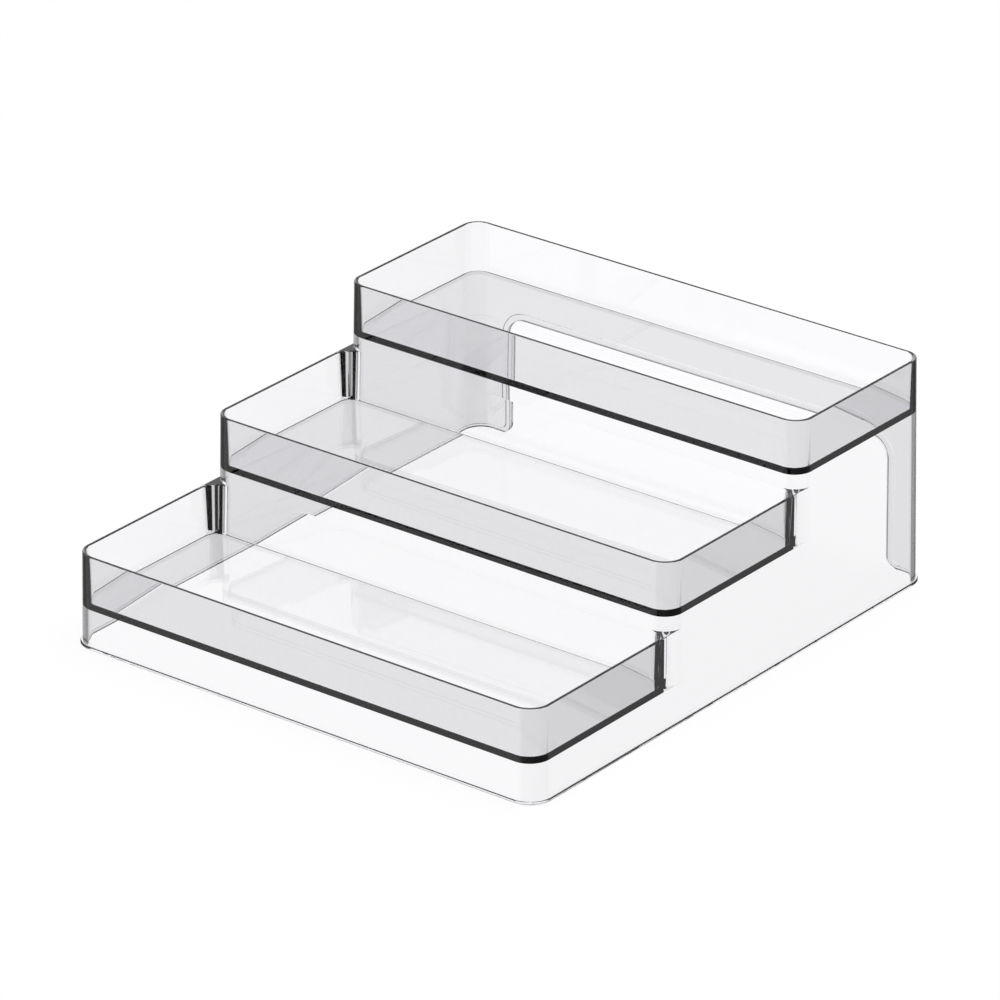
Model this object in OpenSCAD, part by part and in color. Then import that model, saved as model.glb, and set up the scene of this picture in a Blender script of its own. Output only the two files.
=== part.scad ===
// Three tier organizer, moulded in clear plastic and open underneath.
// Width runs along X, depth along Y with the low front at -Y, height along Z.
// The origin is the middle of the foot, at the level of the surface it stands on.
// The moulding is described by regions that meet face to face: tray walls, tray
// floors, risers, skirt, side and rear panels, corner decks, foot flange and the
// lip of the rear opening. Every rounded corner keeps one centre at all heights, so a
// drafted wall is a straight prism between cones about its corner centres.

/* [Body] */
// Outside width of the skirt at the foot, without the flange
body_w = 252; // [200:1:320]
// Outside depth of the skirt at the foot, without the flange
body_d = 280; // [240:1:340]
// Height of the front tray's rim above the surface
front_rim_h = 43.6; // [34:0.1:60]
// Rise from one tray's rim to the next
step_rise = 31.7; // [28:0.1:45]
// Run from one tray's front face to the next
step_run = 92; // [70:0.5:105]
// Outside corner radius at the foot
corner_r = 10.4; // [8:0.1:14]
// Lean of the outer skins, in degrees
skin_draft = 1.1; // [0.5:0.1:1.5]

/* [Walls and trays] */
// Thickness of the skirt, panels and risers
skin_t = 1.7; // [1.2:0.1:2.2]
// Thickness of a tray wall at its rim
rim_t = 1.4; // [1:0.1:2]
// Depth of a tray from rim to floor
tray_depth = 23; // [16:0.5:25]
// Lean of a tray's inner walls, in degrees
pocket_draft = 4; // [2:0.1:6]
// Thickness of a tray floor
floor_t = 2.5; // [1.6:0.1:3]
// Thickness of the small decks at the corners between two tiers
deck_t = 1.6; // [1:0.1:2.4]

/* [Foot flange] */
// How far the flange stands out from the skirt
flange_out = 1; // [0.5:0.1:2.5]
// Height of the flange
flange_t = 1.5; // [1:0.1:3]

/* [Rear opening] */
// Distance from the body's side to the opening, at the foot
opening_side = 21; // [18:0.5:50]
// Height of the opening
opening_h = 62; // [40:0.5:64]
// Radius of the opening's upper corners
opening_r = 10; // [5:0.5:20]
// Radius that flares the opening's feet
opening_flare_r = 5; // [4:0.1:8]
// Width of the lip round the opening
lip_w = 3.2; // [2:0.1:5]
// How far the lip stands out from the rear skin
lip_out = 1; // [0.5:0.1:2]

/* [Hidden] */
$fn = 96;
clear = [0.86, 0.87, 0.9, 0.5];
lower = 0;
middle = 1;
upper = 2;
left = -1;
right = 1;
// How far a cut runs past the faces that it opens
overrun = skin_t;

// Height of a tray's rim, the underside of the decks behind it, its floor and the
// underside of its floor, lowest tray first
function rim_z(tier) = front_rim_h + tier * step_rise;
function deck_z(tier) = rim_z(tier) - deck_t;
function floor_z(tier) = rim_z(tier) - tray_depth;
function under_z(tier) = floor_z(tier) - floor_t;

// The drafted outer skin at a height
function lean(z) = z * tan(skin_draft);
function front_y(tier, z) = tier * step_run - body_d / 2 + lean(z);
function rear_y(z) = body_d / 2 - lean(z);
function skin_r(z) = corner_r - lean(z);

// Centres of the rounded corners, which stay in place at every height
centre_x = body_w / 2 - corner_r;
function front_centre(tier) = front_y(tier, 0) + corner_r;
rear_centre = body_d / 2 - corner_r;

// Corner radius of a tray's inner wall, and of the hidden side of its rear wall
function pocket_r(tier, z) = skin_r(rim_z(tier)) - rim_t - (rim_z(tier) - z) * tan(pocket_draft);
function shell_r_at_rim(tier) = pocket_r(tier, rim_z(tier)) + skin_t;
function shell_r_at_floor(tier) = skin_r(floor_z(tier)) - skin_t;
function shell_r(tier, z) = shell_r_at_floor(tier)
    + (z - floor_z(tier)) * (shell_r_at_rim(tier) - shell_r_at_floor(tier)) / tray_depth;
function pocket_centre(tier) =
    tier == upper ? rear_centre
                  : front_y(tier + 1, rim_z(tier)) - pocket_r(tier, rim_z(tier));

// A profile drawn in (y, z) from a given place, extruded across X
module across(x0, x1, y, z, points) {
    translate([x0, y, z]) rotate([90, 0, 90]) linear_extrude(x1 - x0) polygon(points);
}

// A profile drawn in (x, z) from a given place, extruded along Y
module along(y0, y1, x, z, points) {
    translate([x, y1, z]) rotate([90, 0, 0]) linear_extrude(y1 - y0) polygon(points);
}

// Prism from the left face to the right one, r0 outside the corner centres at
// height z0 and r1 outside them at height z1
module side_to_side(y0, y1, z0, z1, r0, r1) {
    h = z1 - z0;
    along(y0, y1, centre_x, z0, [[r0, 0], [r1, h], [-centre_x, h], [-centre_x, 0]]);
    along(y0, y1, -centre_x, z0, [[-r0, 0], [-r1, h], [centre_x, h], [centre_x, 0]]);
}

// Drafted block with rounded corners: the same, and cones about the corner centres
module drafted_block(y0, y1, z0, z1, r0, r1) {
    h = z1 - z0;
    reach = (y1 - y0) / 2;
    side_to_side(y0, y1, z0, z1, r0, r1);
    across(-centre_x, centre_x, y0, z0, [[-r0, 0], [-r1, h], [reach, h], [reach, 0]]);
    across(-centre_x, centre_x, y1, z0, [[r0, 0], [r1, h], [-reach, h], [-reach, 0]]);
    for (x = [-centre_x, centre_x], y = [y0, y1])
        translate([x, y, z0]) cylinder(h = h, r1 = r0, r2 = r1);
}

// The body's own outline from a tier's front to the rear, taken in by an inset
module skin_block(tier, z0, z1, inset) {
    drafted_block(front_centre(tier), rear_centre, z0, z1, skin_r(z0) - inset, skin_r(z1) - inset);
}

// The body's outer wall between two heights, all round from a tier's front to the rear
module skin(tier, z0, z1) {
    difference() {
        skin_block(tier, z0, z1, 0);
        skin_block(tier, z0 - overrun, z1 + overrun, skin_t);
    }
}

// Everything between two places along Y
module between_y(y0, y1) {
    top = rim_z(upper) + overrun;
    half = body_w / 2 + flange_out + overrun;
    along(y0, y1, 0, 0, [[-half, -overrun], [half, -overrun], [half, top], [-half, top]]);
}

// Everything inside the two side skins, from a tray's rear corners to the next tier's front ones
module between_skins(tier) {
    z0 = under_z(tier) - overrun;
    z1 = rim_z(tier) + overrun;
    side_to_side(pocket_centre(tier) - overrun, front_centre(tier + 1) + overrun,
                 z0, z1, skin_r(z0) - skin_t, skin_r(z1) - skin_t);
}

// The hollow of a tray, past its floor and its rim
module pocket(tier) {
    z0 = floor_z(tier) - overrun;
    z1 = rim_z(tier) + overrun;
    drafted_block(front_centre(tier), pocket_centre(tier), z0, z1,
                  pocket_r(tier, z0), pocket_r(tier, z1));
}

// The two rear corners of a tray's shell, out to the face hidden behind them
module shell_corners(tier, z0, z1) {
    for (x = [-centre_x, centre_x])
        translate([x, pocket_centre(tier), z0])
            cylinder(h = z1 - z0, r1 = shell_r(tier, z0), r2 = shell_r(tier, z1));
}

// Front skin with its two rounded corners: the skirt, and the upper part of a riser
module front_skin(tier, z0, z1) {
    intersection() {
        skin(tier, z0, z1);
        between_y(front_y(tier, 0) - overrun, front_centre(tier));
    }
}

// Floor of a tray: the full outline in front, rounded off against the skins behind
module tray_floor(tier) {
    z0 = under_z(tier);
    z1 = floor_z(tier);
    color(clear)
    if (tier == upper) {
        skin_block(tier, z0, z1, 0);
    } else {
        rear = pocket_centre(tier);
        intersection() {
            skin_block(tier, z0, z1, 0);
            between_y(front_y(tier, 0) - overrun, rear);
        }
        drafted_block(rear - corner_r, rear, z0, z1, skin_r(z0) - skin_t, skin_r(z1) - skin_t);
    }
}

// Wall of a tray: front, sides and, on the lower trays, the two rear corners up to
// the decks
module tray_wall(tier) {
    z0 = floor_z(tier);
    z1 = rim_z(tier);
    rear = pocket_centre(tier);
    color(clear)
    difference() {
        if (tier == upper) {
            skin_block(tier, z0, z1, 0);
        } else {
            intersection() {
                skin_block(tier, z0, z1, 0);
                between_y(front_y(tier, 0) - overrun, rear);
            }
            intersection() {
                shell_corners(tier, z0, deck_z(tier));
                between_skins(tier);
            }
        }
        pocket(tier);
        if (tier != upper)
            translate([-centre_x, rear, z0 - overrun])
                cube([2 * centre_x, corner_r + skin_t, tray_depth + 2 * overrun]);
    }
}

// Riser between two trays: rear wall of the lower tray, then the front skin of the
// next tier with its two rounded corners
module riser(tier) {
    below = tier - 1;
    z0 = floor_z(below);
    z1 = rim_z(below);
    color(clear) {
        across(-centre_x, centre_x, pocket_centre(below), z1,
               [[pocket_r(below, z0), -tray_depth], [shell_r(below, z0), -tray_depth],
                [shell_r(below, z1), 0], [pocket_r(below, z1), 0]]);
        front_skin(tier, z1, under_z(tier));
    }
}

// Deck at the corner between two tiers: it carries the rounded rear corner of a tray's
// rim on one side and the rounded front corner of the next tier on the other
module corner_deck(tier, side) {
    z0 = deck_z(tier);
    z1 = rim_z(tier);
    y0 = pocket_centre(tier);
    y1 = front_centre(tier + 1);
    color(clear)
    difference() {
        intersection() {
            skin_block(tier, z0, z1, 0);
            translate([side > 0 ? centre_x : -centre_x - corner_r, y0, z0 - overrun])
                cube([corner_r, y1 - y0, deck_t + 2 * overrun]);
        }
        pocket(tier);
        skin_block(tier + 1, z0 - overrun, z1 + overrun, skin_t);
    }
}

// Front skirt below the lower tray
module front_skirt() {
    color(clear) front_skin(lower, flange_t, under_z(lower));
}

// Side panel: one flat skin with a stepped top edge that follows the trays
module side_panel(side) {
    z1 = rim_z(upper);
    r0 = skin_r(0);
    r1 = skin_r(z1);
    steps = [
        [front_centre(lower), flange_t], [rear_centre, flange_t],
        [rear_centre, under_z(upper)], [front_centre(upper), under_z(upper)],
        [front_centre(upper), deck_z(middle)], [pocket_centre(middle), deck_z(middle)],
        [pocket_centre(middle), under_z(middle)], [front_centre(middle), under_z(middle)],
        [front_centre(middle), deck_z(lower)], [pocket_centre(lower), deck_z(lower)],
        [pocket_centre(lower), under_z(lower)], [front_centre(lower), under_z(lower)]
    ];
    color(clear)
    mirror([side < 0 ? 1 : 0, 0, 0])
        intersection() {
            across(centre_x, body_w / 2 + overrun, 0, 0, steps);
            along(front_centre(lower) - overrun, rear_centre + overrun, centre_x, 0,
                  [[r0 - skin_t, 0], [r0, 0], [r1, z1], [r1 - skin_t, z1]]);
        }
}

// Outline of the rear opening in (x, z): square feet flared outward, round top corners
module opening_outline(grow, foot_z, flare_r) {
    half = body_w / 2 - opening_side + grow;
    top = opening_h + grow;
    r = opening_r + grow;
    translate([-half, foot_z]) square([2 * half, top - r - foot_z]);
    translate([r - half, foot_z]) square([2 * (half - r), top - foot_z]);
    for (x = [r - half, half - r]) translate([x, top - r]) circle(r);
    difference() {
        translate([-half - flare_r, foot_z - overrun])
            square([2 * (half + flare_r), flare_r + overrun]);
        for (x = [-half - flare_r, half + flare_r])
            translate([x, foot_z + flare_r]) circle(flare_r);
    }
}

// An outline of the opening as a solid that runs through the rear skin, lip and flange
module through_rear(grow, foot_z, flare_r) {
    translate([0, rear_y(0) + flange_out + lip_out, 0]) rotate([90, 0, 0])
        linear_extrude(corner_r + flange_out + lip_out + overrun)
            opening_outline(grow, foot_z, flare_r);
}

module rear_opening() {
    through_rear(0, 0, opening_flare_r);
}

// Rear panel with its rounded corners and the large opening
module rear_panel() {
    color(clear)
    intersection() {
        difference() {
            skin(lower, flange_t, under_z(upper));
            rear_opening();
        }
        between_y(rear_centre, rear_y(0) + overrun);
    }
}

// Lip round the rear opening, standing out from the rear skin
module rear_opening_lip() {
    z0 = flange_t;
    z1 = opening_h + lip_w + overrun;
    color(clear)
    difference() {
        intersection() {
            through_rear(lip_w, z0, opening_flare_r - lip_w / 2);
            across(-body_w / 2, body_w / 2, rear_centre, 0,
                   [[skin_r(z0), z0], [skin_r(z0) + lip_out, z0],
                    [skin_r(z1) + lip_out, z1], [skin_r(z1), z1]]);
        }
        rear_opening();
    }
}

// Foot flange: the rim that the moulding stands on, open at the rear opening
module foot_flange() {
    r = corner_r + flange_out;
    color(clear)
    difference() {
        drafted_block(front_centre(lower), rear_centre, 0, flange_t, r, r);
        skin_block(lower, -overrun, flange_t + overrun, skin_t);
        rear_opening();
    }
}

module left_side_panel() { side_panel(left); }
module right_side_panel() { side_panel(right); }
module lower_tray_floor() { tray_floor(lower); }
module middle_tray_floor() { tray_floor(middle); }
module upper_tray_floor() { tray_floor(upper); }
module lower_tray_wall() { tray_wall(lower); }
module middle_tray_wall() { tray_wall(middle); }
module upper_tray_wall() { tray_wall(upper); }
module middle_riser() { riser(middle); }
module upper_riser() { riser(upper); }
module lower_left_deck() { corner_deck(lower, left); }
module lower_right_deck() { corner_deck(lower, right); }
module middle_left_deck() { corner_deck(middle, left); }
module middle_right_deck() { corner_deck(middle, right); }

foot_flange();
front_skirt();
left_side_panel();
right_side_panel();
rear_panel();
rear_opening_lip();
lower_tray_floor();
middle_tray_floor();
upper_tray_floor();
lower_tray_wall();
middle_tray_wall();
upper_tray_wall();
middle_riser();
upper_riser();
lower_left_deck();
lower_right_deck();
middle_left_deck();
middle_right_deck();
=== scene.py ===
# %% [markdown]
# # A clear three-step organizer
# This lesson dresses a tiered organizer, one thin moulding of clear plastic with three shallow
# trays. The CAD model gives its regions as plain solids. Clear plastic shows every face twice,
# from outside and from inside, so its looks come from exact walls, rounded rims and clean joins.
# The CAD model is loaded first, from model.glb.

import bpy
import numpy as np
from mathutils import Matrix, Vector


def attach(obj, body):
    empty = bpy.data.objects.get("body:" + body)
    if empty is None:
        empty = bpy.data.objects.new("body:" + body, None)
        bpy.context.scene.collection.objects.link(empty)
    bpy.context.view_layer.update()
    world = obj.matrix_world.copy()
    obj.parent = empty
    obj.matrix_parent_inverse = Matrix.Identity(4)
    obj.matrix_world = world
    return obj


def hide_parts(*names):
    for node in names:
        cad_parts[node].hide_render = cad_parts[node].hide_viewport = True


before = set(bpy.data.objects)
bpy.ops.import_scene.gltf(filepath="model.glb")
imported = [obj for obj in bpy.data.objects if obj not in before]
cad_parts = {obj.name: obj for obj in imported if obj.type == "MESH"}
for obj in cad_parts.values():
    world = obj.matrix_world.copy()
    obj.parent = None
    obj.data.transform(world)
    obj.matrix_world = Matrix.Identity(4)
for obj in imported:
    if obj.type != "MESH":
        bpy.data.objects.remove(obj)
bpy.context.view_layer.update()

# %% [markdown]
# ## The camera
# The photograph was taken with a long lens from the front right, a little above. Its place was
# worked out by least squares from the rims, steps and corners, so the render can be laid over
# the photograph. A camera built from its three axes needs no aiming and no shift.

# %% Set the camera
AZIMUTH, ELEVATION = np.radians(38.0348), np.radians(25.0943)
FOCAL_PIXELS, FRAME_PIXELS, SENSOR_MM = 7339.18, 1000, 36.0
MIDDLE = np.array([0, 0, 0.05])
SIDEWAYS, UPWARDS, AWAY = -0.0011864, 0.0025725, 3.174093
FARTHEST = 100
RIGHT = np.array([np.cos(AZIMUTH), np.sin(AZIMUTH), 0.0])
BACK = np.array([np.sin(AZIMUTH) * np.cos(ELEVATION), -np.cos(AZIMUTH) * np.cos(ELEVATION),
                 np.sin(ELEVATION)])
UP = np.cross(BACK, RIGHT)
PLACE = MIDDLE + RIGHT * SIDEWAYS + UP * UPWARDS + BACK * AWAY

camera = bpy.data.objects.new("camera", bpy.data.cameras.new("camera"))
bpy.context.scene.collection.objects.link(camera)
bpy.context.scene.camera = camera
axes = np.array([RIGHT, UP, BACK]).T
camera.matrix_world = Matrix([[*row, place] for row, place in zip(axes, PLACE)] + [[0, 0, 0, 1]])
camera.data.sensor_width = SENSOR_MM
camera.data.lens = SENSOR_MM * FOCAL_PIXELS / FRAME_PIXELS
camera.data.clip_end = FARTHEST
print("lens", round(camera.data.lens, 1), "mm, camera at", PLACE.round(3))

# %% [markdown]
# ## The moulding's measures
# All walls of a moulding lean a little so that it leaves its mould: that lean is the draft. Here
# every rounded corner keeps one centre at all heights, and only its radius changes. A wall is then
# known from two numbers: the corner centres, and how far the face stands outside them.

# %% Heights, leans and corner centres
MM = 0.001
WIDTH, DEPTH, CORNER, DRAFT = 252.0, 280.0, 10.4, np.tan(np.radians(1.1))
RIM, RISE, RUN = 43.6, 31.7, 92.0
SKIN, RIM_WALL, TRAY_DEPTH, POCKET_DRAFT = 1.7, 1.4, 23.0, np.tan(np.radians(4.0))
FLOOR, DECK = 2.5, 1.6
FLANGE_OUT, FLANGE_HIGH = 1.0, 1.5
TIERS = range(3)
CENTRE_X = WIDTH / 2 - CORNER
REAR_CENTRE = DEPTH / 2 - CORNER


def rim_z(tier):
    """The top of a tray's rim: the lowest rim, and one rise more for each tier."""
    return RIM + tier * RISE


def floor_z(tier):
    """The top of a tray's floor: its rim less the tray's depth."""
    return rim_z(tier) - TRAY_DEPTH


def under_z(tier):
    """The underside of a tray's floor: its top less the floor's thickness."""
    return floor_z(tier) - FLOOR


def deck_z(tier):
    """The underside of the small corner decks: the rim less their thickness."""
    return rim_z(tier) - DECK


def skin_r(z):
    """How far the outer skin stands outside the corner centres: less with height, by the draft."""
    return CORNER - DRAFT * z


def front_centre(tier):
    """The corner centres of a tier's front: one run further back for each tier."""
    return tier * RUN - REAR_CENTRE


def pocket_r(tier, z):
    """The same as skin_r for a tray's inner wall, which leans the other way from the rim down."""
    return skin_r(rim_z(tier)) - RIM_WALL - (rim_z(tier) - z) * POCKET_DRAFT


def pocket_centre(tier):
    """The corner centres of a tray's rear wall, whose rim runs into the next tier's front skin."""
    if tier == 2:
        return REAR_CENTRE
    return tier * RUN + RUN - DEPTH / 2 + DRAFT * rim_z(tier) - pocket_r(tier, rim_z(tier))


print("rims at", [round(rim_z(t), 1) for t in TIERS], "floors at", [round(floor_z(t), 1) for t in TIERS])

# %% [markdown]
# ## A profile carried round the corners
# Most of the moulding is a block with four rounded corners. Its outline is walked once: at each
# step the walk knows the corner centre that it turns about and the direction outward. A profile of
# (reach, height) pairs is carried along that walk, which gives a grid of points in one formula:
# place = corner centre + reach x direction, at the profile's height.

# %% Rings of points
ARC_STEPS = 48


def corner_walk(x_half, y0, y1):
    """Walks round a rounded rectangle: four quarter turns about (+-x_half, y0 or y1).
    Returns for each step the centre it turns about, and the unit direction (cos a, sin a)."""
    angles = np.concatenate([np.radians(start + np.linspace(0, 90, ARC_STEPS + 1))
                             for start in (0, 90, 180, 270)])
    corners = [[x_half, y1], [-x_half, y1], [-x_half, y0], [x_half, y0]]
    centres = np.repeat(corners, ARC_STEPS + 1, axis=0)
    return centres, np.column_stack([np.cos(angles), np.sin(angles)])


def carried(profile, x_half, y0, y1):
    """Rings of points: each (reach, height) of the profile, carried along the walk."""
    centres, outward = corner_walk(x_half, y0, y1)
    profile = np.asarray(profile, float)
    flat = centres[None] + profile[:, :1, None] * outward[None]
    height = np.broadcast_to(profile[:, 1, None, None], flat.shape[:2] + (1,))
    return np.concatenate([flat, height], axis=2)


print("a ring has", len(corner_walk(1, 0, 1)[0]), "points")

# %% [markdown]
# ## From rings to a solid
# Neighbouring rings are joined by quads, and the first and the last are closed by one flat face.
# A solid whose faces point inward would turn every cut inside out. Its volume tells: the sum over
# its triangles of a . (b x c) / 6 is negative then, and the faces are turned.

# %% Closed solids
def closed_solid(name, rings, material=0):
    """A closed mesh from rings of points, in millimetres, with its faces turned outward."""
    count, around = rings.shape[:2]
    index = np.arange(count * around).reshape(count, around)
    a, b = index[:-1], index[1:]
    sides = np.stack([a, np.roll(a, -1, 1), np.roll(b, -1, 1), b], axis=-1).reshape(-1, 4)
    faces = sides.tolist() + [index[0][::-1].tolist(), index[-1].tolist()]
    points = rings.reshape(-1, 3) * MM
    p = [points[sides[:, i]] for i in range(4)]
    volume = sum(np.einsum("ij,ij->i", p[0], np.cross(p[i], p[i + 1])).sum() for i in (1, 2)) / 6
    for cap in faces[-2:]:
        fan = points[cap]
        volume += np.einsum("ij,ij->i", np.broadcast_to(fan[0], fan[1:-1].shape),
                            np.cross(fan[1:-1], fan[2:])).sum() / 6
    if volume < 0:
        faces = [face[::-1] for face in faces]
    mesh = bpy.data.meshes.new(name)
    mesh.from_pydata(points.tolist(), [], faces)
    mesh.polygons.foreach_set("material_index", np.full(len(faces), material, np.int32))
    solid = bpy.data.objects.new(name, mesh)
    bpy.context.scene.collection.objects.link(solid)
    return solid


print("a block of two rings has", len(corner_walk(1, 0, 1)[0]) + 2, "faces")

# %% [markdown]
# ## Joining and cutting solids
# Where two rounded tiers meet, the seam between them is a curve that no simple grid follows. A
# boolean works that curve out. The manifold solver is exact and quick on closed meshes, so the
# moulding is put together as it would be in a mould: steel blocks added and taken away.

# %% Join and cut
SOLVER = "MANIFOLD"


def combine(base, tool, how):
    """base UNION, DIFFERENCE or INTERSECT tool, as a new mesh on base. The tool is used up."""
    bpy.context.view_layer.update()
    step = base.modifiers.new("step", "BOOLEAN")
    step.operation, step.solver, step.material_mode, step.object = how, SOLVER, "INDEX", tool
    evaluated = base.evaluated_get(bpy.context.evaluated_depsgraph_get())
    mesh = bpy.data.meshes.new_from_object(evaluated)
    base.modifiers.remove(step)
    old, base.data = base.data, mesh
    bpy.data.meshes.remove(old)
    used = tool.data
    bpy.data.objects.remove(tool)
    bpy.data.meshes.remove(used)
    return base


print("solids are joined and cut by the", SOLVER.lower(), "solver")

# %% [markdown]
# ## Profiles of a tier and its tray
# A rim as sharp as a computer draws it would catch no light. A moulded rim is rounded on both
# edges, here by 0.45 mm, and the tray's floor runs into its wall in a small cove. The roundings
# are quarter circles in the profiles. Each tray's inside corners are a little fuller than an even
# wall would make them, so that the corner draws a wider dark line, as in the photograph.

# %% Rounded profiles
EDGE, COVE = 0.45, 0.35
FULLER = 0.8
ABOVE = 2.0
ROUND = np.radians(np.linspace(0, 90, 6))


def tier_profile(tier, low):
    """Up the leaning skin, then a quarter circle in to the flat top of the rim."""
    z = rim_z(tier) - EDGE + EDGE * np.sin(ROUND)
    reach = skin_r(z) - EDGE * (1 - np.cos(ROUND))
    return [[skin_r(low), low], *np.column_stack([reach, z])]


def pocket_profile(tier):
    """A tray's hollow from its floor up: the cove, the leaning wall, the rounded rim, and on
    above it. Each reach is made fuller, for corner centres that stand as much further in."""
    low, top = floor_z(tier), rim_z(tier)
    foot = np.column_stack([pocket_r(tier, low + COVE) - COVE * (1 - np.sin(ROUND)),
                            low + COVE * (1 - np.cos(ROUND))])
    z = top - EDGE + EDGE * np.sin(ROUND)
    rim = np.column_stack([pocket_r(tier, z) + EDGE * (1 - np.cos(ROUND)), z])
    return np.array([*foot, *rim, [rim[-1, 0], top + ABOVE]]) + [FULLER, 0]


print("points in a tier's profile:", len(tier_profile(0, 0)), "in a tray's:", len(pocket_profile(0)))

# %% [markdown]
# ## Outside of the tiers
# Each tier is a block with its tray taken out. It starts a little below the rim under it, so that
# neighbours overlap before they are joined. The flange round the foot is one more block, low and
# wide, with its upper and lower edges rounded.

# %% Three tiers and the foot flange
UNDERLAP = 3.0
FLANGE_TOP, FLANGE_FOOT = 0.7, 0.6

moulding = None
for tier in TIERS:
    start = FLANGE_HIGH / 2 if tier == 0 else rim_z(tier - 1) - UNDERLAP
    block = closed_solid(f"tier_{tier}", carried(tier_profile(tier, start), CENTRE_X,
                                                 front_centre(tier), REAR_CENTRE))
    hollow = carried(pocket_profile(tier), CENTRE_X - FULLER, front_centre(tier) + FULLER,
                     pocket_centre(tier) - FULLER)
    block = combine(block, closed_solid(f"pocket_{tier}", hollow), "DIFFERENCE")
    moulding = block if moulding is None else combine(moulding, block, "UNION")

flange_reach = CORNER + FLANGE_OUT
lower_edge = np.column_stack([np.cos(ROUND) - 1, 1 - np.sin(ROUND)])[::-1] * FLANGE_FOOT
upper_edge = np.column_stack([np.cos(ROUND) - 1, np.sin(ROUND) - 1]) * FLANGE_TOP
flange = [*(lower_edge + [flange_reach, 0]), *(upper_edge + [flange_reach, FLANGE_HIGH])]
flange_block = closed_solid("flange", carried(flange, CENTRE_X, front_centre(0), REAR_CENTRE))
moulding = combine(moulding, flange_block, "UNION")
print("outside:", len(moulding.data.polygons), "faces")

# %% [markdown]
# ## The outline of the rear opening
# The opening is a wide arch with round upper corners and feet that flare outward. A lip goes round
# it, so the outline is also needed a little larger: straight lines move out and arcs change their
# radius, which is worked out and not scaled. It is drawn flat and then laid on the leaning skin.

# %% The opening's outline
OPEN_HALF, OPEN_TOP, OPEN_R, FLARE_R = WIDTH / 2 - 21.0, 62.0, 10.0, 5.0
FLARE_POINTS, TOP_POINTS = 25, 33
UNDER_FOOT = 4.0


def opening_outline(grow, foot, flare):
    """Half the outline from the foot up: under the foot, a flare turning inward and up, the side,
    a quarter circle at the top, then the other half mirrored. Returns (x, z) pairs."""
    half, top, radius = OPEN_HALF + grow, OPEN_TOP + grow, OPEN_R + grow
    turn = np.radians(np.linspace(-90, -180, FLARE_POINTS))
    flared = np.column_stack([half + flare + flare * np.cos(turn), foot + flare + flare * np.sin(turn)])
    round_top = np.radians(np.linspace(0, 90, TOP_POINTS))
    over = np.column_stack([half - radius + radius * np.cos(round_top),
                            top - radius + radius * np.sin(round_top)])
    right = np.concatenate([[[half + flare, foot - UNDER_FOOT]], flared, over])
    return np.concatenate([right, right[::-1] * [-1, 1]])


def on_rear_skin(outline, out):
    """Lays an (x, z) outline on the rear skin, which leans in with height, that far outside it."""
    return np.column_stack([outline[:, 0], REAR_CENTRE + skin_r(outline[:, 1]) + out, outline[:, 1]])


print("the outline has", len(opening_outline(0, 0, FLARE_R)), "points")

# %% [markdown]
# ## The lip
# A raised lip stiffens the edge of the opening. It is a stack of outlines, from inside the skin
# out to its face, which shrink along a quarter circle for the rounded outer edge. Its feet end
# inside the flange, so they are cut off there.

# %% Add the lip
LIP_WIDE, LIP_OUT, LIP_EDGE, LIP_ROOT, LIP_FOOT = 3.2, 1.0, 0.7, 0.8, 0.8
BELOW = -9

lip_edge = np.column_stack([LIP_OUT - LIP_EDGE + LIP_EDGE * np.sin(ROUND), LIP_EDGE * (np.cos(ROUND) - 1)])
lip_rings = [on_rear_skin(opening_outline(LIP_WIDE + grow, FLANGE_HIGH, FLARE_R - LIP_WIDE / 2), out)
             for out, grow in ((-LIP_ROOT, 0), *lip_edge)]
rear_strip = np.array([[-150, 120], [150, 120], [150, 160], [-150, 160]])
strip_rings = [np.column_stack([rear_strip, np.full(4, z)]) for z in (BELOW, LIP_FOOT)]
lip = closed_solid("lip", np.array(lip_rings))
lip = combine(lip, closed_solid("below", np.array(strip_rings)), "DIFFERENCE")
moulding = combine(moulding, lip, "UNION")
print("with lip:", len(moulding.data.polygons), "faces")

# %% [markdown]
# ## The tool that cuts the opening
# The cut goes through skin, lip and flange at once. A sharp edge would hardly show in clear
# plastic, so both edges are rounded by half a millimetre: the tool widens along a quarter circle
# towards the inner face of the skin and towards the outer face of the lip.

# %% Shape the opening's tool
SOFT, OPEN_IN, OPEN_OUT = 0.5, -9, 4

inner_edge = np.column_stack([SOFT * (1 - np.sin(ROUND)) - SKIN, SOFT * (1 - np.cos(ROUND))])[::-1]
outer_edge = np.column_stack([LIP_OUT - SOFT * (1 - np.sin(ROUND)), SOFT * (1 - np.cos(ROUND))])
opening_rings = [on_rear_skin(opening_outline(grow, 0, FLARE_R), out)
                 for out, grow in ((OPEN_IN, SOFT), *inner_edge, *outer_edge, (OPEN_OUT, SOFT))]
opening = closed_solid("opening", np.array(opening_rings))
print("the opening's tool has", len(opening.data.polygons), "faces")

# %% [markdown]
# ## The hollow underneath
# Seen from below the moulding is one open shell. The space inside the skins is taken away tier by
# tier, from below the foot up to the underside of the tray's floor. What is left behind a tray is
# its riser: the wall between the tray and the hollow of the next tier. The hollow's corners are
# fuller than an even skin would make them, as the steel core of a mould has well rounded corners.

# %% Hollow the underside
INNER_FULLER, CORE_LOW = 0.6, -3


def inside_block(tier):
    """The space inside the skins from a tier's front to the rear, up to under its tray's floor."""
    profile = [[skin_r(z) - SKIN + INNER_FULLER, z] for z in (CORE_LOW, under_z(tier))]
    rings = carried(profile, CENTRE_X - INNER_FULLER, front_centre(tier) + INNER_FULLER,
                    REAR_CENTRE - INNER_FULLER)
    return closed_solid(f"inside_{tier}", rings)


for tier in TIERS:
    moulding = combine(moulding, inside_block(tier), "DIFFERENCE")
moulding = combine(moulding, opening, "DIFFERENCE")
moulding.name = "moulding"
print("moulding:", len(moulding.data.polygons), "faces")

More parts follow.
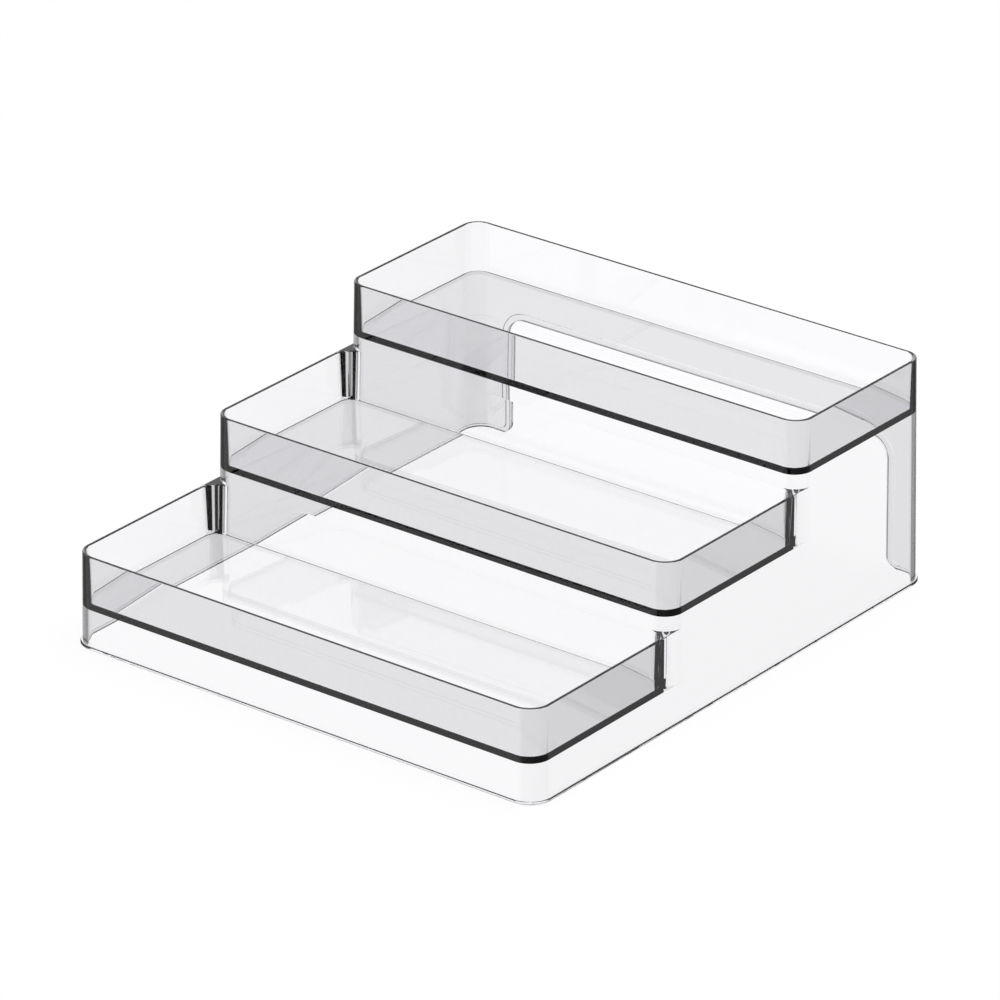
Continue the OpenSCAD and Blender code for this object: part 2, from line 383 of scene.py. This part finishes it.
# %% [markdown]
# ## A moulded face
# A moulded face is never quite flat: a slow, faint waviness of two thousandths of a millimetre
# moves the normals, and the polish varies a little over the surface. Both come from a shader group
# on Object coordinates, so that another plastic could share it.

# %% A group for the waviness of a moulded face
wavy = bpy.data.node_groups.new("moulded_waviness", "ShaderNodeTree")
for socket, kind, way in (("Size", "NodeSocketFloat", "INPUT"), ("Depth", "NodeSocketFloat", "INPUT"),
                          ("Polish", "NodeSocketFloat", "INPUT"), ("Normal", "NodeSocketVector", "OUTPUT"),
                          ("Roughness", "NodeSocketFloat", "OUTPUT")):
    wavy.interface.new_socket(socket, socket_type=kind, in_out=way)


def add_node(tree, kind, **values):
    """A node of that kind, with its input sockets set by name."""
    node = tree.nodes.new(kind)
    for name, value in values.items():
        node.inputs[name.replace("_", " ")].default_value = value
    return node


inputs, outputs = wavy.nodes.new("NodeGroupInput"), wavy.nodes.new("NodeGroupOutput")
place = wavy.nodes.new("ShaderNodeTexCoord")
slow = add_node(wavy, "ShaderNodeTexNoise", Detail=1.0, Roughness=0.4)
fine = add_node(wavy, "ShaderNodeTexNoise", Scale=900.0, Detail=2.0)
bump = add_node(wavy, "ShaderNodeBump", Strength=1.0)
gloss = add_node(wavy, "ShaderNodeMapRange", From_Min=0.35, From_Max=0.75)
wavy.links.new(place.outputs["Object"], slow.inputs["Vector"])
wavy.links.new(place.outputs["Object"], fine.inputs["Vector"])
wavy.links.new(inputs.outputs["Size"], slow.inputs["Scale"])
wavy.links.new(inputs.outputs["Depth"], bump.inputs["Distance"])
wavy.links.new(slow.outputs["Fac"], bump.inputs["Height"])
wavy.links.new(fine.outputs["Fac"], gloss.inputs["Value"])
wavy.links.new(inputs.outputs["Polish"], gloss.inputs["To Max"])
wavy.links.new(bump.outputs["Normal"], outputs.inputs["Normal"])
wavy.links.new(gloss.outputs["Result"], outputs.inputs["Roughness"])
print("waviness group:", len(wavy.nodes), "nodes")

# %% [markdown]
# ## The plastic
# Clear styrene bends light by an index of about 1.5 and mirrors a few hundredths of it at every
# face. One plastic serves the whole moulding, with a trace of violet in it. Each wall is real
# geometry, so its darker edges come from what it bends and mirrors, and from the painted shade
# that floor and room show to bent and mirrored rays.

# %% Clear styrene
TINT, INDEX = (0.988, 0.985, 1.0), 1.5
WAVE_SCALE, WAVE_DEPTH, POLISH = 25.0, 2e-6, 0.02

plastic = bpy.data.materials.new("clear_styrene")
plastic.use_nodes = True
shader = plastic.node_tree.nodes["Principled BSDF"]
shader.inputs["Base Color"].default_value = (*TINT, 1)
shader.inputs["IOR"].default_value = INDEX
shader.inputs["Transmission Weight"].default_value = 1.0
surface = plastic.node_tree.nodes.new("ShaderNodeGroup")
surface.node_tree = wavy
surface.inputs["Size"].default_value = WAVE_SCALE
surface.inputs["Depth"].default_value = WAVE_DEPTH
surface.inputs["Polish"].default_value = POLISH
plastic.node_tree.links.new(surface.outputs["Normal"], shader.inputs["Normal"])
plastic.node_tree.links.new(surface.outputs["Roughness"], shader.inputs["Roughness"])
print("plastic:", plastic.name, "index", INDEX)

# %% [markdown]
# ## Joins that don't show
# The CAD model names regions of one moulding, so the finished shell is cut into them. In clear
# plastic every cut face would bend and mirror light like a crack. The cut faces therefore get a
# material of their own that is not there at all: its Alpha is 0.

# %% The joins' material
join = bpy.data.materials.new("join")
join.use_nodes = True
unseen = join.node_tree.nodes["Principled BSDF"]
unseen.inputs["Base Color"].default_value = (1, 1, 1, 1)
unseen.inputs["Alpha"].default_value = 0.0
unseen.inputs["Roughness"].default_value = 1.0
unseen.inputs["Specular IOR Level"].default_value = 0.0
SLOTS = (plastic, join)
print("materials:", [material.name for material in SLOTS])

# %% [markdown]
# ## Prisms that cut out a region
# Each region is cut along the CAD model's own planes, a few hundredths of a millimetre off them so
# that no cut grazes a face. A cutting prism is a (y, z) outline carried across the width. Its two
# ends may lean with height, because the inner faces of the side skins lean with the draft.

# %% Cutting prisms
NUDGE = 0.04
TALL, WIDE = 200.0, 200.0


def right_inner(z):
    """The inner plane of the right skin, which leans with the draft."""
    return CENTRE_X + skin_r(z) - SKIN - NUDGE


def left_inner(z):
    """The same plane of the left skin."""
    return -right_inner(z)


def prism(outline_yz, x_near, x_far):
    """A (y, z) outline carried across the width, between two reaches that may lean with height."""
    outline = np.asarray(outline_yz, float)
    ends = [np.broadcast_to(reach(outline[:, 1]) if callable(reach) else reach, len(outline))
            for reach in (x_near, x_far)]
    rings = np.array([np.column_stack([end, outline]) for end in ends])
    solid = closed_solid("region", rings, material=1)
    for material in SLOTS:
        solid.data.materials.append(material)
    return solid


def slab(y0, y1, z0, z1):
    """A rectangle in (y, z)."""
    return [[y0, z0], [y1, z0], [y1, z1], [y0, z1]]


print("inner planes of the side skins, at the foot: +-", round(right_inner(0), 2))

# %% [markdown]
# ## Eighteen regions
# The table below gives every node of the CAD model its prisms, as (outline, near end, far end).
# Most nodes need one. A tray's floor goes on under the rounded corners behind it, between the side
# skins, and a tray's wall goes on there as two small corner pieces. A riser stands between those
# corners, and above the rim of the tray before it, it is as wide as the moulding.

# %% The table of regions
foot, back = FLANGE_HIGH + NUDGE, REAR_CENTRE + NUDGE
front = [front_centre(tier) - NUDGE for tier in TIERS]
rear = [pocket_centre(tier) - NUDGE for tier in TIERS]
under = [under_z(tier) - NUDGE for tier in TIERS]
over = [floor_z(tier) + NUDGE for tier in TIERS]
deck = [deck_z(tier) - NUDGE for tier in TIERS]
rim = [rim_z(tier) + NUDGE for tier in TIERS]
beside = CENTRE_X - NUDGE
skin_low, skin_high = back + skin_r(foot), back + skin_r(under[2])

steps = [[front[0], foot], [back, foot], [back, under[2]], [front[2], under[2]], [front[2], deck[1]],
         [rear[1], deck[1]], [rear[1], under[1]], [front[1], under[1]], [front[1], deck[0]],
         [rear[0], deck[0]], [rear[0], under[0]], [front[0], under[0]]]
rear_skin = [[back, foot], [skin_low, foot], [skin_high, under[2]], [back, under[2]]]
outside_skin = [[skin_low, foot], [TALL, foot], [TALL, under[2]], [skin_high, under[2]]]
regions = {
    "foot_flange": [(slab(-TALL, TALL, -TALL, foot), -WIDE, WIDE)],
    "front_skirt": [(slab(-TALL, front[0], foot, under[0]), -WIDE, WIDE)],
    "rear_panel": [(rear_skin, -WIDE, WIDE)],
    "rear_opening_lip": [(outside_skin, -WIDE, WIDE)],
    "right_side_panel": [(steps, right_inner, WIDE)],
    "left_side_panel": [(steps, -WIDE, left_inner)],
    "upper_tray_floor": [(slab(-TALL, TALL, under[2], over[2]), -WIDE, WIDE)],
    "upper_tray_wall": [(slab(-TALL, TALL, over[2], TALL), -WIDE, WIDE)],
}
for tier, word, next_word in ((0, "lower", "middle"), (1, "middle", "upper")):
    behind = (rear[tier], front[tier + 1])
    corner = slab(*behind, over[tier], deck[tier])
    carrier = slab(*behind, deck[tier], rim[tier])
    regions[word + "_tray_floor"] = [(slab(-TALL, rear[tier], under[tier], over[tier]), -WIDE, WIDE),
                                     (slab(*behind, under[tier], over[tier]), left_inner, right_inner)]
    regions[word + "_tray_wall"] = [(slab(-TALL, rear[tier], over[tier], TALL), -WIDE, WIDE),
                                    (corner, beside, right_inner),
                                    (corner, left_inner, -beside)]
    regions[word + "_left_deck"] = [(carrier, -WIDE, -beside)]
    regions[word + "_right_deck"] = [(carrier, beside, WIDE)]
    regions[next_word + "_riser"] = [(slab(*behind, over[tier], rim[tier]), -beside, beside),
                                     (slab(*behind, rim[tier], under[tier + 1]), -WIDE, WIDE)]
print("regions:", len(regions), "of", len(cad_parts), "nodes")

# %% [markdown]
# ## Cutting the shell
# Each piece is what its prisms and the shell have in common. It keeps the shell's outer faces in
# plastic, and its cut faces let light through, so that the joins vanish as they do in the real,
# single moulding. The piece rides on the one body and takes the place of its CAD node.

# %% Cut the eighteen pieces
def cut_region(node):
    """The moulding's part of a region, as one closed piece with its joins in their own material."""
    parts = []
    for outline, near, far in regions[node]:
        part = moulding.copy()
        part.data = moulding.data.copy()
        bpy.context.scene.collection.objects.link(part)
        parts.append(combine(part, prism(outline, near, far), "INTERSECT"))
    piece = parts[0]
    if len(parts) > 1:
        with bpy.context.temp_override(active_object=piece, selected_editable_objects=parts):
            bpy.ops.object.join()
    piece.name = "clear_" + node
    piece.data.name = piece.name
    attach(piece, "root")
    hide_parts(node)
    return piece


# The booleans leave a slot of their own, so the two materials get their places anew.
moulding.data.materials.clear()
for material in SLOTS:
    moulding.data.materials.append(material)
for node in sorted(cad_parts):
    piece = cut_region(node)
    index = np.zeros(len(piece.data.polygons), np.int32)
    piece.data.polygons.foreach_get("material_index", index)
    print(f"{node}: {len(index)} faces, {int(index.sum())} in its joins")
whole = moulding.data
bpy.data.objects.remove(moulding)
bpy.data.meshes.remove(whole)

# %% [markdown]
# ## Light that knows its way: painted shade by what a ray has met
# Clear plastic shows nothing but its surroundings, so floor and room are made like a studio for
# glass, with painted light and shade in them. A Light Path node tells what a ray has met: how many
# mirrors, and two faces for each wall. White seen through more walls than one is dimmed by a
# quarter for each, a painted shade for the layers of plastic, as in the photograph, where a tray
# floor behind the front wall is darker than the same floor seen directly. A ray that was mirrored
# once or twice sees white and black cards, a painted reflection, and after more mirrors it sees
# black, a painted shade.

# %% What a ray has met
# Painted shade: FADE and MIRROR_FADE keep that share of the white or of the cards for each wall past the
# free ones, TWICE keeps that share after two mirrors, and DARK takes that much from bent rays.
FADE, MIRROR_FADE, DARK = 0.75, 0.5, 0.9
FREE_WALLS, FREE_MIRRORED_WALLS = 1.0, 3.0
TWICE = 0.9


def maths(tree, operation, *values):
    """A Math node in that tree; each value is a number or an output to link."""
    node = tree.nodes.new("ShaderNodeMath")
    node.operation = operation
    for slot, value in zip(node.inputs, values):
        if isinstance(value, (int, float)):
            slot.default_value = value
        else:
            tree.links.new(value, slot)
    return node.outputs[0]


def dimmed(tree, light, faces, free, share):
    """Painted shade for layers of plastic: light x share ** (walls past the free ones), with two faces to
    a wall.
    """
    walls = maths(tree, "MAXIMUM", maths(tree, "MULTIPLY_ADD", faces, 0.5, -free), 0.0)
    return maths(tree, "MULTIPLY", light, maths(tree, "POWER", share, walls))


def ray_kinds(tree):
    """Values for the kinds of rays. Each is 1 for its own kind: straight (never mirrored),
    mirrored, diffuse, and bent (not the camera's own). Then how much of the floor's or the
    room's white a straight ray keeps under the painted shade for the walls it has passed, and how
    much of the painted reflection cards a mirrored one keeps, under a painted shade for its
    mirrors and walls."""
    path = tree.nodes.new("ShaderNodeLightPath")
    diffuse, mirrors = path.outputs["Is Diffuse Ray"], path.outputs["Glossy Depth"]
    faces = path.outputs["Transmission Depth"]
    keen = maths(tree, "SUBTRACT", 1.0, diffuse)
    straight = maths(tree, "MULTIPLY", keen, maths(tree, "LESS_THAN", mirrors, 0.5))
    mirrored = maths(tree, "SUBTRACT", keen, straight)
    once = maths(tree, "MULTIPLY", maths(tree, "LESS_THAN", mirrors, 1.5), 1.0 - TWICE)
    few = maths(tree, "MULTIPLY_ADD", maths(tree, "LESS_THAN", mirrors, 2.5), TWICE, once)
    few_mirrored = maths(tree, "MULTIPLY", mirrored, few)
    return {"straight": straight, "mirrored": mirrored, "diffuse": diffuse,
            "bent": maths(tree, "SUBTRACT", 1.0, path.outputs["Is Camera Ray"]),
            "white": dimmed(tree, straight, faces, FREE_WALLS, FADE),
            "painted_reflection_cards": dimmed(tree, few_mirrored, faces, FREE_MIRRORED_WALLS, MIRROR_FADE)}


def shaded(tree, kinds, where):
    """Painted shade: the white of straight rays, less most of it for bent ones where that value
    is 1: white - white x DARK x where x bent."""
    shade = maths(tree, "MULTIPLY", maths(tree, "MULTIPLY", where, kinds["bent"]), -DARK)
    return maths(tree, "MULTIPLY_ADD", kinds["white"], shade, kinds["white"])


print("white left behind 1, 2 and 3 walls:", [FADE ** walls for walls in range(3)])

# %% [markdown]
# ## The floor
# The photograph has a plain white ground. The floor gives that white to the camera, mixed with a
# little of a real matt surface that takes the soft shadow. Bent rays see its white only near the
# object, and dark further out where the camera still sees white: a rim bends light from far away,
# so this painted shade draws it as a dark line. Mirrored rays pass through the floor to the room's
# painted reflection cards. It lies a tenth of a millimetre below the foot, whose underside still mirrors.

# %% Floor
FLOOR_HALF, GAP = 9.0, 0.1
BACKDROP = 0.95
PAD_FROM, PAD_TO = 0.5, 0.8
CLOTH, CLOTH_ROUGH = 0.85, 0.9

edges = np.array([[-1, -1], [1, -1], [1, 1], [-1, 1]]) * FLOOR_HALF
ground_mesh = bpy.data.meshes.new("floor")
ground_mesh.from_pydata(np.column_stack([edges, np.full(4, -GAP * MM)]).tolist(), [], [[0, 1, 2, 3]])
ground = bpy.data.objects.new("floor", ground_mesh)
bpy.context.scene.collection.objects.link(ground)
matt = bpy.data.materials.new("pale_floor")
matt.use_nodes = True
tree = matt.node_tree
cloth = tree.nodes["Principled BSDF"]
cloth.inputs["Base Color"].default_value = (CLOTH, CLOTH, CLOTH, 1)
cloth.inputs["Roughness"].default_value = CLOTH_ROUGH
kinds = ray_kinds(tree)
spot, reach = tree.nodes.new("ShaderNodeTexCoord"), tree.nodes.new("ShaderNodeVectorMath")
reach.operation = "LENGTH"
tree.links.new(spot.outputs["Object"], reach.inputs[0])
# Painted shade: bent rays see the floor darken from PAD_FROM to PAD_TO out, where the camera still sees
# white; this draws the rims dark.
beyond = add_node(tree, "ShaderNodeMapRange", From_Min=PAD_FROM, From_Max=PAD_TO)
tree.links.new(reach.outputs["Value"], beyond.inputs["Value"])
glow = add_node(tree, "ShaderNodeEmission", Color=(1, 1, 1, 1))
tree.links.new(shaded(tree, kinds, beyond.outputs["Result"]), glow.inputs["Strength"])
clear = tree.nodes.new("ShaderNodeBsdfTransparent")
white_mix, clear_mix = tree.nodes.new("ShaderNodeMixShader"), tree.nodes.new("ShaderNodeMixShader")
tree.links.new(maths(tree, "MULTIPLY", kinds["straight"], BACKDROP), white_mix.inputs["Fac"])
tree.links.new(cloth.outputs[0], white_mix.inputs[1])
tree.links.new(glow.outputs[0], white_mix.inputs[2])
tree.links.new(kinds["mirrored"], clear_mix.inputs["Fac"])
tree.links.new(white_mix.outputs[0], clear_mix.inputs[1])
tree.links.new(clear.outputs[0], clear_mix.inputs[2])
tree.links.new(clear_mix.outputs[0], tree.nodes["Material Output"].inputs["Surface"])
ground_mesh.materials.append(matt)
print("floor:", 2 * FLOOR_HALF, "m wide, white for bent rays up to", PAD_FROM, "m")

# %% [markdown]
# ## The room and its painted reflection cards
# Mirrored rays see a ring of cards placed like a photographer's round glass, but the camera doesn't
# see them and they light nothing: they are a painted reflection of light and shade. A card is a
# range of compass directions with a level between black and white, read here from the direction of
# the ray in the world. Tray walls, which narrow towards their rim, throw light steeply down, and the
# parallel skins less steeply, so there is one ring for each. The steep one is mostly black: it is a
# painted shade that draws the dark bands under the trays. Upwards all is white to mirrored rays, a
# painted reflection, and dark to bent ones, a painted shade.

# %% Room
ROOM = 0.5
STEEP_Z = -0.47
# Levels of the painted reflection cards for each compass direction; their black stops paint the dark
# bands.
STEEP = ((-180, 0), (-160, 0.6), (-150, 1), (-106, 1), (-90, 0), (44, 0), (48, 0.65), (56, 0.65),
         (60, 0), (180, 0))
FLAT = ((-180, 0.25), (-160, 0.6), (-150, 1), (-106, 1), (-88, 0.4), (-18, 0.2), (40, 0.25),
        (46, 0.65), (58, 0.65), (64, 0.25), (82, 0.28), (112, 0.6), (145, 0.6), (174, 0.3), (180, 0.25))

world = bpy.data.worlds.new("studio")
bpy.context.scene.world = world
world.use_nodes = True
air = world.node_tree
room = air.nodes["Background"]
room.inputs["Color"].default_value = (1, 1, 1, 1)
kinds = ray_kinds(air)
way, parts_of_way = air.nodes.new("ShaderNodeTexCoord"), air.nodes.new("ShaderNodeSeparateXYZ")
air.links.new(way.outputs["Generated"], parts_of_way.inputs[0])
turn = maths(air, "ARCTAN2", parts_of_way.outputs["Y"], parts_of_way.outputs["X"])
turn = maths(air, "MULTIPLY_ADD", turn, 1 / (2 * np.pi), 0.5)


def painted_reflection_cards(levels):
    """A painted reflection of light and shade: a brightness for every compass direction, from (degrees,
    level) pairs.
    """
    ramp = air.nodes.new("ShaderNodeValToRGB")
    air.links.new(turn, ramp.inputs["Fac"])
    stops = ramp.color_ramp.elements
    for angle, level in levels:
        at = angle / 360 + 0.5
        stop = stops[0] if at == 0 else stops[-1] if at == 1 else stops.new(at)
        stop.color = (level, level, level, 1)
    return ramp.outputs["Color"]


height = parts_of_way.outputs["Z"]
# Above the horizon bent rays see the room dark, a painted shade, and mirrored rays see it white, a painted
# reflection.
upward = maths(air, "GREATER_THAN", height, 0.0)
steep = maths(air, "LESS_THAN", height, STEEP_Z)
flat = maths(air, "SUBTRACT", maths(air, "SUBTRACT", 1.0, upward), steep)
level = maths(air, "MULTIPLY_ADD", steep, painted_reflection_cards(STEEP), upward)
level = maths(air, "MULTIPLY_ADD", flat, painted_reflection_cards(FLAT), level)
seen = maths(air, "MULTIPLY_ADD", kinds["painted_reflection_cards"], level, shaded(air, kinds, upward))
air.links.new(maths(air, "MULTIPLY_ADD", kinds["diffuse"], ROOM, seen), room.inputs["Strength"])
print("cards:", len(STEEP), "steep stops and", len(FLAT), "flat ones")

# %% [markdown]
# ## The lamp
# One large lamp overhead gives the soft shadow on the floor. Mirrored and bent rays don't see it,
# because it would show as white specks in the dark bands. Light in clear plastic turns many
# corners, so the rays may bounce often before they are given up.

# %% Lamp and bounces
LAMP_PLACE, LAMP_SIZE, LAMP_WATTS = Vector((0.3, 0.2, 2.0)), 1.6, 38
BENDS, MIRRORS, CLEAR_FACES = 40, 20, 64

lamp_data = bpy.data.lights.new("overhead", "AREA")
lamp_data.size, lamp_data.energy = LAMP_SIZE, LAMP_WATTS
lamp = bpy.data.objects.new("overhead", lamp_data)
lamp.location = LAMP_PLACE
lamp.rotation_euler = (Vector(MIDDLE) - LAMP_PLACE).to_track_quat("-Z", "Y").to_euler()
lamp.visible_glossy = lamp.visible_transmission = False
bpy.context.scene.collection.objects.link(lamp)
bpy.context.scene.view_settings.view_transform = "Standard"
cycles = bpy.context.scene.cycles
cycles.max_bounces = cycles.transmission_bounces = BENDS
cycles.glossy_bounces = MIRRORS
cycles.transparent_max_bounces = CLEAR_FACES
print("lamp:", LAMP_WATTS, "W at", tuple(round(c, 2) for c in LAMP_PLACE))
